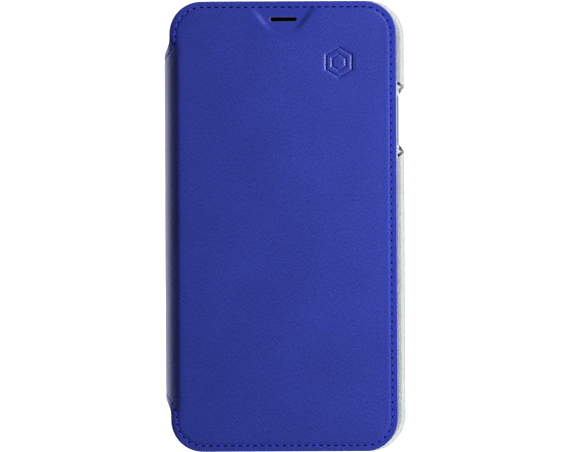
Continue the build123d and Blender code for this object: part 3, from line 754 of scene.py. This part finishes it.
def pattern_points(fine=True, rings=RING_D, keep=None):
    nrm = normals_in(OUTLINE)
    out = []
    for i, d in enumerate(rings):
        ring = OUTLINE + nrm * d
        if i % 2:
            ring = (ring + np.roll(ring, -1, 0)) / 2
        dd = distance(ring, FINE_LINE)
        out.append(ring[dd > d - 0.03])
    last = rings[-1] if rings else 0.3
    step = 1.5 if fine else 3.2
    gu = np.arange(U_STRAP + 1, U_RIGHT, step)
    gu = gu[(gu < -UB - 0.4) | (gu > UT + 0.4)]
    bend = np.linspace(-UB, UT, 71 if fine else 33)
    gv = np.arange(-HALF_H + 1, HALF_H, step)
    turn = np.arange(56.0, 69.0, 0.7)
    bv = np.concatenate([np.arange(-54.6, 55, 2.1), turn, -turn, np.arange(70.5, HALF_H, 1.5),
                         -np.arange(70.5, HALF_H, 1.5)])
    for us, vs, off in ((gu, gv, True), (bend, bv, False)):
        uu, vv = np.meshgrid(us, vs)
        if off:
            uu = uu + (np.arange(len(vs)) % 2)[:, None] * step * 0.5
        g = np.stack([uu.ravel(), vv.ravel()], 1)
        g = g[inside(g, OUTLINE)]
        g = g[distance(g, FINE_LINE) > last + 0.45]
        out.append(g)
    p = np.vstack(out)
    if fine:
        # denser round the dip and the pressed mark
        def region(p, x0, x1, y0, y1):
            x = x_of(p)
            return (x > x0) & (x < x1) & (p[:, 1] > y0) & (p[:, 1] < y1) & (p[:, 0] > UT)
        dipbox = (SLOT_X - 12.8, SLOT_X + 12.8, 65.2, 74.3)
        markbox = (MARK_X - 6.4, MARK_X + 6.4, MARK_Y - 6.8, MARK_Y + 6.8)
        p = p[~region(p, *dipbox) | (distance(p, FINE_LINE) < 2.25)]
        p = p[~region(p, *markbox)]
        for (x0, x1, y0, y1), s in ((dipbox, 0.38), (markbox, 0.17)):
            uu, vv = np.meshgrid(np.arange(x0, x1, s), np.arange(y0, y1, s))
            uu = uu + (np.arange(uu.shape[0]) % 2)[:, None] * s * 0.5
            g = np.stack([uu.ravel() - X_T + UT, vv.ravel()], 1)
            g = g[distance(g, FINE_LINE) > 2.4]
            out2 = g
            p = np.vstack([p, out2])
    return p


def stadium(grow, n=12):
    hw, r = SLOT_L / 2 - SLOT_W / 2, SLOT_W / 2 + grow
    cu = SLOT_X - X_T + UT
    pts = arc(cu + hw, SLOT_Y, r, -90, 90, n) + arc(cu - hw, SLOT_Y, r, 90, 270, n)
    return resample(pts, 0.3)


def near_slot(p, grow):
    return inside(p, stadium(grow))


SLOT_HOLE = stadium(0.0)
body = pattern_points()
rough = pattern_points(False, [0.46, 0.5, 2.7, 3.3])


def part(points, right, hole_grow=0.0):
    m = points[:, 0] > 0.12 if right else points[:, 0] < -0.12
    p = points[m]
    return p[~near_slot(p, hole_grow)]


extra_slot = np.vstack([stadium(g) for g in (0.08, 0.2, 0.4)])


def front_height(uv):
    h = outer_height(uv)
    d = distance(uv, SLOT_HOLE)
    e = np.clip(0.22 - d, 0, 0.22)
    lip = 0.22 - np.sqrt(np.maximum(0.22**2 - e * e, 0))
    return h - np.where(uv[:, 0] > UT, lip, 0)


def paint_highlight_and_slot_rim_faces(mid):
    """The lighter edge paint comes just over the rounded edge: the real painted edge plus a painted highlight along
    the rim. The slot's cut edge is paler.
    """
    # painted highlight: the top face's outer 0.15 mm takes the lighter edge paint
    out = np.where(distance(mid, FINE_LINE) < 0.15, 1, 0)
    near = np.abs(mid[:, 1] - SLOT_Y) < 3
    out[near & (distance(mid, SLOT_HOLE) < 0.15) & (mid[:, 0] > UT)] = 3
    return out


leather_front = slab(
    "leather_front", clip_loop(OUTLINE, True, CUT), [SLOT_HOLE],
    np.vstack([part(body, True, 0.55), extra_slot]), part(rough, True, 0.3),
    fold, front_height, leather_under, [mat_leather, mat_paint_and_highlight, mat_dark_slot_wall, mat_rim],
    wall=[0.25, 0.5, 0.75], sharp=60, paint_by=paint_highlight_and_slot_rim_faces,
)
leather_back = slab(
    "leather_back", clip_loop(OUTLINE, False, CUT), [],
    part(body, False), part(rough, False),
    fold, outer_height, leather_under, [mat_leather, mat_paint_and_highlight], wall=[0.35, 0.7], sharp=60,
)

# lining: its own outline a touch inside the leather's edge
LINE_IN = OUTLINE + normals_in(OUTLINE) * 0.12
V0L = edge_v(LINE_IN)
cut_l = np.array(sorted({round(float(v), 5) for v in np.linspace(-V0L, V0L, 60)}))
lin_pts = pattern_points(False, [0.5, 1.2, 1.75, 1.9, 2.05, 2.6, 3.4])
# close rows where the lining climbs over the board's edge
uu, vv = np.meshgrid(UT + np.array([-0.8, -0.6, -0.4, -0.2, 0.15, 0.3, 0.6, 1.2]), np.arange(-72, 72.1, 2.0))
rows = np.stack([uu.ravel(), vv.ravel()], 1)
rows = rows[distance(rows, FINE_LINE) > 3.8]
lin_pts = np.vstack([lin_pts, rows])
rough_l = np.vstack([rough, rows])
lining_front = slab(
    "lining_front", clip_loop(LINE_IN, True, cut_l), [SLOT_HOLE],
    part(lin_pts, True, 0.3), part(rough_l, True, 0.3),
    fold, lining_inner, lining_outer, [mat_lining, mat_paint_and_highlight, mat_dark_slot_wall], flip=True, wall=[0.5],
    sharp=60,
)
lining_back = slab(
    "lining_back", clip_loop(LINE_IN, False, cut_l), [],
    part(lin_pts, False), part(rough, False),
    fold, lining_inner, lining_outer, [mat_lining, mat_paint_and_highlight], flip=True, wall=[0.5],
    sharp=60,
)


# --------------------------------------------------------------------------------
# stitches
# --------------------------------------------------------------------------------
def path_at(path, s, total, cum):
    s = np.mod(s, total)
    return np.stack([np.interp(s, cum, path[:, 0]), np.interp(s, cum, path[:, 1])], 1)


def tangent_at(path, s, total, cum):
    d = path_at(path, s + 0.05, total, cum) - path_at(path, s - 0.05, total, cum)
    return d / np.linalg.norm(d, axis=1)[:, None]


def closed_path(points):
    p = np.vstack([points, points[:1]])
    cum = np.concatenate([[0], np.cumsum(np.linalg.norm(np.diff(p, axis=0), axis=1))])
    return p, cum, cum[-1]


rng = np.random.default_rng(7)


def stitches(name, spans, place, height, radius, out=1.0, dive=0.34, thin=0.0, mat=None):
    """Rows of stitches: each is a short round thread that dives into the skin at both ends.
    spans: list of (points along the stitch as (k, 2) plan arrays)."""
    verts, faces, uvs, n = [], [], [], 0
    sides, segs = 8, 9
    for line in spans:
        t = np.linspace(0, 1, segs)
        k = np.linspace(0, len(line) - 1, segs)
        c = np.stack([np.interp(k, np.arange(len(line)), line[:, j]) for j in (0, 1)], 1)
        d = np.gradient(c, axis=0)
        d /= np.linalg.norm(d, axis=1)[:, None]
        nrm = np.stack([-d[:, 1], d[:, 0]], 1)
        wob = rng.normal(0, 0.022)
        rad = radius * (1 - thin * abs(d[segs // 2][1]))
        end = np.clip(np.abs(t - 0.5) * 2, 0, 1)
        lift = (1 - end**4) * rad * 0.42 - end**7 * dive + rng.normal(0, 0.012)
        taper = rad * (1 - 0.18 * end**3)
        base_h = height(c)
        for i in range(segs):
            for s in range(sides):
                a = 2 * math.pi * s / sides
                p = c[i] + nrm[i] * (math.cos(a) * taper[i] + wob)
                h = base_h[i] + out * (lift[i] + math.sin(a) * taper[i] * 0.88)
                verts.append((p[0], p[1], h))
                uvs.append((t[i], s / sides))
        for i in range(segs - 1):
            for s in range(sides):
                a = n + i * sides + s
                b = n + i * sides + (s + 1) % sides
                f = (a, b, b + sides, a + sides)
                faces.append(f if out > 0 else f[::-1])
        cap = tuple(n + s for s in range(sides))
        cap2 = tuple(n + (segs - 1) * sides + s for s in range(sides))
        faces.append(cap[::-1] if out > 0 else cap)
        faces.append(cap2 if out > 0 else cap2[::-1])
        n += segs * sides
    v = np.array(verts)
    return make_object(name, place(v[:, :2], v[:, 2]), faces, np.array(uvs), [mat or mat_thread])


def gap_shadows(name, centres, tangents, place, surface, length, width, out=1.0):
    """Needle holes with painted shadow: small dark ellipses lying on the floor of the channel, as long as the gaps
    where the thread dives, standing in for the holes and the shade in those gaps.
    """
    verts, faces, uvs, n = [], [], [], 0
    k = 10
    for c, t, ln, wd in zip(centres, tangents, length, width):
        nn = np.array([-t[1], t[0]])
        for rr, dz in ((1.0, 0.02), (0.6, 0.045)):
            for s in range(k):
                a = 2 * math.pi * s / k
                p = c + t * math.cos(a) * ln / 2 * rr + nn * math.sin(a) * wd / 2 * rr
                verts.append((p[0], p[1], out * dz))
                uvs.append((p[0] / 100, p[1] / 100))
        for s in range(k):
            f = (n + s, n + (s + 1) % k, n + k + (s + 1) % k, n + k + s)
            faces.append(f if out > 0 else f[::-1])
        f = tuple(n + k + s for s in range(k))
        faces.append(f if out > 0 else f[::-1])
        n += 2 * k
    v = np.array(verts)
    h = surface(v[:, :2]) + v[:, 2]
    return make_object(name, place(v[:, :2], h), faces, np.array(uvs), [mat_gap_shadow])


seam_pts = resample(FINE_LINE + normals_in(FINE_LINE) * SEAM_IN, 0.25)
seam, cum, total = closed_path(seam_pts)
PITCH = total / round(total / 2.5)
count = int(round(total / PITCH))


def seam_height(uv):
    """Floor of the seam's groove."""
    f = flap_weight(uv[:, 0])
    return -np.maximum(STEP * f + 0.06 * (1 - f), dip_depth(uv)) - 0.13 - 0.05 * (1 - f)


def is_side(t):
    return np.abs(t[:, 1]) > 0.8


spans_f, spans_b, pc, pt, pl, pw = [], [], [], [], [], []
for i in range(count):
    s0 = i * PITCH
    mid_t = tangent_at(seam, np.array([s0 + PITCH / 2]), total, cum)[0]
    share = 0.52 + 0.31 * abs(mid_t[1])
    a, b = s0 + PITCH * (1 - share) / 2, s0 + PITCH * (1 + share) / 2
    line = path_at(seam, np.linspace(a, b, 6), total, cum)
    slant = 0.07
    nn = np.array([-mid_t[1], mid_t[0]])
    line = line + nn * np.linspace(-slant, slant, 6)[:, None]
    (spans_f if line[:, 0].mean() > 0 else spans_b).append(line)
    # painted shadow in each gap: centre, direction, length and width of its dark ellipse
    q = path_at(seam, np.array([s0]), total, cum)[0]
    pc.append(q)
    pt.append(tangent_at(seam, np.array([s0]), total, cum)[0])
    pl.append(PITCH * (1 - share) + 0.42)
    pw.append(0.46)
pc, pt, pl, pw = map(np.array, (pc, pt, pl, pw))
front_side = pc[:, 0] > 0

seam_front = stitches("seam_front", spans_f, fold, seam_height, 0.195, thin=0.16)
seam_back = stitches("seam_back", spans_b, fold, seam_height, 0.195, thin=0.16)
gap_shadows_front = gap_shadows("gap_shadows_front", pc[front_side], pt[front_side], fold,
                   outer_height, pl[front_side], pw[front_side])
gap_shadows_back = gap_shadows("gap_shadows_back", pc[~front_side], pt[~front_side], fold,
                  outer_height, pl[~front_side], pw[~front_side])


def inner_seam_height(uv):
    return lining_inner(uv) + 0.03


spans_i = [l for l in spans_f if l[:, 0].min() > 0.2]
seam_inside = stitches("seam_inside", spans_i, fold, inner_seam_height, 0.19, out=-1.0, dive=0.3)

# --------------------------------------------------------------------------------
# card pockets
# --------------------------------------------------------------------------------
pr_lo, pr_hi = (v / MM for v in map(np.array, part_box("card_pocket_rear")))
pf_lo, pf_hi = (v / MM for v in map(np.array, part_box("card_pocket_front")))
P_Y0, P_Y1 = pr_lo[1], pr_hi[1]
POCKET = 0.4
Z_REAR, Z_FRONT = Z_LIN - POCKET, Z_LIN - 2 * POCKET
P_SEAM = 1.4
scoop_y = (P_Y0 + P_Y1) / 2


def scoop(x0):
    """Thumb scoop in a mouth edge that runs down at x0, as plan points from top to bottom."""
    r, inset = 10.0, 6.0
    cx = x0 - (r - inset)
    a = math.degrees(math.acos((r - inset) / r))
    arcpts = arc(cx, scoop_y, r, a, -a, 26)
    soft = 1.6
    top = bezier((x0, scoop_y + 9.17 + 2.4), (x0, scoop_y + 9.17 + 0.6), (x0 + 0.1, scoop_y + 9.0), arcpts[2], 8)
    bottom = bezier(arcpts[-3], (x0 + 0.1, scoop_y - 9.0), (x0, scoop_y - 9.17 - 0.6), (x0, scoop_y - 9.17 - 2.4), 8)
    return top + arcpts[3:-3] + bottom


def pocket(name, x0, x1, corner, z_inner, step=None):
    loop = [(x1, P_Y0 + corner)] if corner else [(x1, P_Y0)]
    pts = []
    if corner:
        pts += arc(x1 - corner, P_Y0 + corner, corner, -90, 0, 10)
        pts += arc(x1 - corner, P_Y1 - corner, corner, 0, 90, 10)
    else:
        pts += [(x1, P_Y0), (x1, P_Y1)]
    pts += [(x0, P_Y1)] + scoop(x0) + [(x0, P_Y0)]
    loop = resample(pts, 0.6)
    nrm = normals_in(loop)
    fine = np.vstack([loop + nrm * d for d in (0.05, 0.12, 0.25, 0.6, 1.0, 1.25, 1.4, 1.55, 1.8, 2.2)])
    fine = fine[inside(fine, loop)]
    fine = fine[distance(fine, loop) > 0.04]
    gx, gy = np.meshgrid(np.arange(x0 + 0.5, x1, 1.5), np.arange(P_Y0 + 0.5, P_Y1, 1.5))
    g = np.stack([gx.ravel(), gy.ravel()], 1)
    g = g[inside(g, loop)]
    g = g[distance(g, loop) > 2.5]
    if step:
        lines = []
        for xs in step:
            ys = np.arange(P_Y0 + 0.4, P_Y1, 0.9)
            lines.append(np.stack([np.full(len(ys), xs), ys], 1))
        extra = np.vstack(lines)
        extra = extra[inside(extra, loop)]
        extra = extra[distance(extra, loop) > 0.3]
        g = np.vstack([g[np.abs(g[:, 0] - np.mean(step)) > 1.6], extra])
    p = np.vstack([fine, g])

    def level(uv):
        """How far the panel's outer face lies below the lining, in millimetres."""
        if not step:
            return np.full(len(uv), POCKET)
        return POCKET + POCKET * (1 - smooth(step[0] - 0.05, step[-1] + 0.05, uv[:, 0]))

    def top(uv):
        d = distance(uv, loop)
        e = np.clip(0.14 - d, 0, 0.14)
        round_off = 0.14 - np.sqrt(np.maximum(0.14**2 - e * e, 0))
        near_mouth = 1 - smooth(0, 1.2, np.abs(distance(uv, np.array(scoop(x0) + [(x0, P_Y0)]), False) - 1.9))
        crease = 0.05 * (1 - smooth(0.05, 0.35, np.abs(d - 2.0))) * (uv[:, 0] < x0 + 9)
        stitch = 0.07 * (1 - smooth(0.1, 0.4, np.abs(d - P_SEAM)))
        return level(uv) - round_off - crease - stitch * (uv[:, 0] > x0 + 0.5) - 0.01

    def bottom(uv):
        return level(uv) - POCKET + 0.01

    def place(uv, h):
        return np.stack([uv[:, 0], uv[:, 1], Z_LIN - h], 1) * MM

    obj = slab(name, loop, [], p, g[::2], place, top, bottom, [mat_pocket, mat_paint_and_highlight],
               flip=True, wall=[0.5])
    return obj, loop, level


rear_x0, rear_x1 = pr_lo[0], pr_hi[0]
front_x0, front_x1 = pf_lo[0], pf_hi[0]
pocket_rear, loop_rear, _ = pocket("pocket_rear", rear_x0, rear_x1, 0, Z_REAR)
pocket_front, loop_front, front_level = pocket(
    "pocket_front", front_x0, front_x1, 3.0, Z_FRONT,
    step=[rear_x1 + 0.2, rear_x1 + 0.5, rear_x1 + 0.8, rear_x1 + 1.1, rear_x1 + 1.4],
)


def pocket_place(uv, h):
    return np.stack([uv[:, 0], uv[:, 1], Z_LIN - h], 1) * MM


def seam_level(uv):
    on_front = uv[:, 0] > front_x0
    lv = np.where(on_front, front_level(uv), POCKET)
    return lv - 0.05


pc_, spans_p = [], []
u_path = (
    [(rear_x0 + 1.2, P_Y1 - P_SEAM), (front_x1 - 3.0, P_Y1 - P_SEAM)]
    + arc(front_x1 - 3.0, P_Y1 - 3.0, 3.0 - P_SEAM, 90, 0, 8)[1:]
    + arc(front_x1 - 3.0, P_Y0 + 3.0, 3.0 - P_SEAM, 0, -90, 8)
    + [(rear_x0 + 1.2, P_Y0 + P_SEAM)]
)
u_pts = resample(u_path, 0.25, closed=False)
cu_ = np.concatenate([[0], np.cumsum(np.linalg.norm(np.diff(u_pts, axis=0), axis=1))])
n_p = int(round(cu_[-1] / 2.5))
for i in range(n_p):
    s = np.linspace(i + 0.14, i + 0.86, 6) * cu_[-1] / n_p
    line = np.stack([np.interp(s, cu_, u_pts[:, 0]), np.interp(s, cu_, u_pts[:, 1])], 1)
    if (line[0, 0] - front_x0) * (line[-1, 0] - front_x0) < 0:
        continue
    spans_p.append(line)
seam_pockets = stitches("seam_pockets", spans_p, pocket_place, seam_level, 0.17, out=1.0, dive=0.25)
seam_pockets.data.flip_normals()

# --------------------------------------------------------------------------------
# pieces and bodies
# --------------------------------------------------------------------------------
# the skin's pieces are baked into the row frame; the pockets and their stitches go with the cover's body
for o in (leather_back, lining_back, seam_back, gap_shadows_back):
    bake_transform(o)
for o in (leather_front, lining_front, seam_front, gap_shadows_front, seam_inside):
    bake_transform(o)
for o in (pocket_rear, pocket_front, seam_pockets):
    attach(o, "cover")
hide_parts("cover_leather", "spine_leather")
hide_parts("back_leather")
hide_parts("cover_lining", "spine_lining")
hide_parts("back_lining")
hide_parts("cover_thread_front", "spine_thread")
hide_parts("back_thread")
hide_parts("cover_thread_inside")
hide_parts("card_pocket_rear")
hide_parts("card_pocket_front")
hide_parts("pocket_thread")



def plan_area(loop):
    x, y = loop[:, 0] * MM, loop[:, 1] * MM
    return abs(float(np.dot(x, np.roll(y, -1)) - np.dot(y, np.roll(x, -1)))) / 2


def declare_sheet(obj, loop):
    """Works out the flat pattern's own area; the result is not kept."""
    plan_area(loop)


declare_sheet(leather_back, clip_loop(OUTLINE, False, CUT))
declare_sheet(lining_front, clip_loop(LINE_IN, True, cut_l))
declare_sheet(lining_back, clip_loop(LINE_IN, False, cut_l))
declare_sheet(pocket_rear, loop_rear)
declare_sheet(pocket_front, loop_front)

# --------------------------------------------------------------------------------
# stage, light, camera
# --------------------------------------------------------------------------------
FLOOR = -0.00006                                   # just clear of the strap's soft unevenness
floor_mesh = bpy.data.meshes.new("floor")
floor_mesh.from_pydata([(-4, -4, FLOOR), (4, -4, FLOOR), (4, 4, FLOOR), (-4, 4, FLOOR)], [], [(0, 1, 2, 3)])
floor = bpy.data.objects.new("floor", floor_mesh)
scene.collection.objects.link(floor)
fm, nt, bsdf, out = new_material("floor")
bsdf.inputs["Base Color"].default_value = (0.93, 0.93, 0.93, 1)
bsdf.inputs["Roughness"].default_value = 0.9
bsdf.inputs["Specular IOR Level"].default_value = 0.0
floor_mesh.materials.append(fm)

world = bpy.data.worlds.new("studio")
scene.world = world
world.use_nodes = True
wn = world.node_tree
wn.nodes.clear()
wo = wn.nodes.new("ShaderNodeOutputWorld")
bg = wn.nodes.new("ShaderNodeBackground")
tc = wn.nodes.new("ShaderNodeTexCoord")
sp = wn.nodes.new("ShaderNodeSeparateXYZ")
mr = wn.nodes.new("ShaderNodeMapRange")
wn.links.new(tc.outputs["Generated"], sp.inputs[0])
wn.links.new(sp.outputs[2], mr.inputs["Value"])
mr.inputs["From Min"].default_value = 0.0
mr.inputs["From Max"].default_value = 0.14
mr.inputs["To Min"].default_value = 1.0
mr.inputs["To Max"].default_value = 0.0
right = wn.nodes.new("ShaderNodeMapRange")         # the bright band stands on the right only
wn.links.new(sp.outputs[0], right.inputs["Value"])
right.inputs["From Min"].default_value = -0.15
right.inputs["From Max"].default_value = 0.35
band = wn.nodes.new("ShaderNodeMath")
band.operation = "MULTIPLY"
wn.links.new(mr.outputs[0], band.inputs[0])
wn.links.new(right.outputs[0], band.inputs[1])
level = wn.nodes.new("ShaderNodeMapRange")
wn.links.new(band.outputs[0], level.inputs["Value"])
level.inputs["To Min"].default_value = 0.14
level.inputs["To Max"].default_value = 1.0
low_sky = wn.nodes.new("ShaderNodeMapRange")       # and the left is dim up to 30 degrees
wn.links.new(sp.outputs[2], low_sky.inputs["Value"])
low_sky.inputs["From Min"].default_value = 0.25
low_sky.inputs["From Max"].default_value = 0.55
low_sky.inputs["To Min"].default_value = 0.35
low_sky.inputs["To Max"].default_value = 1.0
left_sky = wn.nodes.new("ShaderNodeMapRange")
wn.links.new(sp.outputs[0], left_sky.inputs["Value"])
left_sky.inputs["From Min"].default_value = -0.3
left_sky.inputs["From Max"].default_value = 0.1
wn.links.new(low_sky.outputs[0], left_sky.inputs["To Min"])
dim = wn.nodes.new("ShaderNodeMath")
dim.operation = "MULTIPLY"
wn.links.new(level.outputs[0], dim.inputs[0])
wn.links.new(left_sky.outputs[0], dim.inputs[1])
bg.inputs["Color"].default_value = (1, 1, 1, 1)
wn.links.new(dim.outputs[0], bg.inputs["Strength"])
wn.links.new(bg.outputs[0], wo.inputs["Surface"])


def area(name, loc, target, size, power, colour=(1, 1, 1)):
    data = bpy.data.lights.new(name, "AREA")
    data.shape = "RECTANGLE"
    data.size, data.size_y = size
    data.energy = power
    data.color = colour
    o = bpy.data.objects.new(name, data)
    scene.collection.objects.link(o)
    o.location = loc
    o.rotation_mode = "QUATERNION"
    o.rotation_quaternion = (Vector(loc) - Vector(target)).to_track_quat("Z", "Y")
    return o


def only_on(light, name, objects):
    """Light linking: the light falls on these objects only."""
    group = bpy.data.collections.new(name)
    for o in objects:
        group.objects.link(o)
    light.light_linking.receiver_collection = group


elev = math.radians(30)
key = area("key", (0.38 * math.cos(elev), 0.07, 0.38 * math.sin(elev)), (0, 0, 0), (0.30, 0.05), 3.8)
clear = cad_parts["clear_shell"]
clear.visible_shadow = False                       # clear plastic lets the light through to what is behind it
only_on(key, "key_on", [o for o in scene.objects if o.type == "MESH" and o not in (floor, clear)])

side_fill = area("side_fill", (-0.35, 0, 0.11), (0, 0, 0), (0.30, 0.05), 1.5)
only_on(side_fill, "side_fill_on", [seam_front, seam_back])

sun = bpy.data.lights.new("table_light", "SUN")
sun.energy = 4.1
sun.angle = math.radians(8)
table = bpy.data.objects.new("table_light", sun)
scene.collection.objects.link(table)
only_on(table, "table_on", [floor])
table.light_linking.blocker_collection = bpy.data.collections["table_on"]   # the case throws no shadow on it

cam_data = bpy.data.cameras.new("camera")
cam = bpy.data.objects.new("camera", cam_data)
scene.collection.objects.link(cam)
DIST = 4.0
WIDTH = 0.5700 * 0.3395
cam_data.sensor_width = 36.0
cam_data.lens = 36.0 * DIST / WIDTH
cam.location = (0, 0.00013, DIST + 0.01375)
cam.rotation_mode = "XYZ"
cam.rotation_euler = (0, 0, math.radians(-0.27))
cam_data.clip_start = 0.1
cam_data.clip_end = 20
scene.camera = cam
scene.view_settings.view_transform = "Standard"
scene.view_settings.look = "None"
